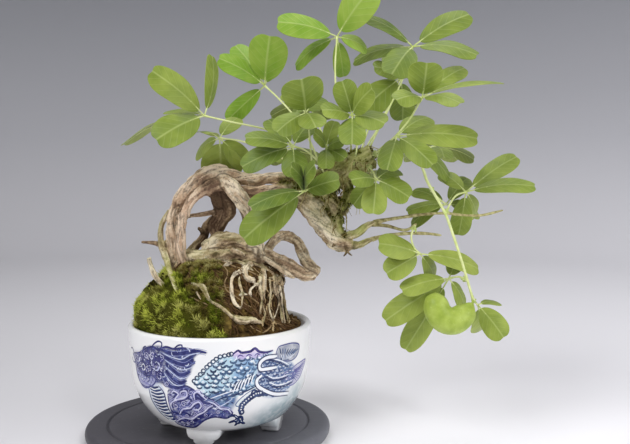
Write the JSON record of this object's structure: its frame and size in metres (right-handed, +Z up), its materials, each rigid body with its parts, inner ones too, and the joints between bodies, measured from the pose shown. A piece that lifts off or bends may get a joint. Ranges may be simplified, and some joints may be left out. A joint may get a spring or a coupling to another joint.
{
  "type": "akebia_bonsai",
  "caption": "Akebia bonsai: a twisted trunk arches from a mossy root mound with palmate leaves, a hanging shoot and a curved fruit, in a round painted porcelain pot on a display stand",
  "frame": {"origin": "the middle of the underside of the round display stand, where the whole object rests", "axes": "+Z up; +X to the right and +Y away from a viewer who stands in front of the tree, so its front faces -Y"},
  "size_m": [0.2576, 0.142, 0.2588],
  "materials": {
    "stand": "satin dark lacquer",
    "porcelain": "glossy white glaze painted in cobalt blue",
    "mesh": "matt",
    "soil": "crumbly damp earth",
    "moss": "soft, tufted",
    "bark": "rough weathered bark",
    "leaf": "satin, lets light through",
    "fruit": "satin green skin"
  },
  "bodies": {
    "root": {"display_stand": "stand", "pot": "porcelain", "drainage_mesh": "mesh", "root_ball": "soil", "moss": "moss", "trunk": "bark", "leaf_far_left": "leaf", "leaf_high_left": "leaf", "leaf_top": "leaf", "leaf_front_left": "leaf", "leaf_over_arch": "leaf", "leaf_mid_left": "leaf", "leaf_young": "leaf", "leaf_before_trunk": "leaf", "leaf_high_right": "leaf", "leaf_right": "leaf", "leaf_mid_right": "leaf", "leaf_centre": "leaf", "leaf_below_limb": "leaf", "leaf_low_right": "leaf", "leaf_back_left": "leaf", "leaf_back_upper": "leaf", "leaf_back_lower": "leaf", "leaf_back_high": "leaf", "leaf_back_right": "leaf", "hanging_shoot": "leaf", "fruit": "fruit"}
  },
  "joints": []
}
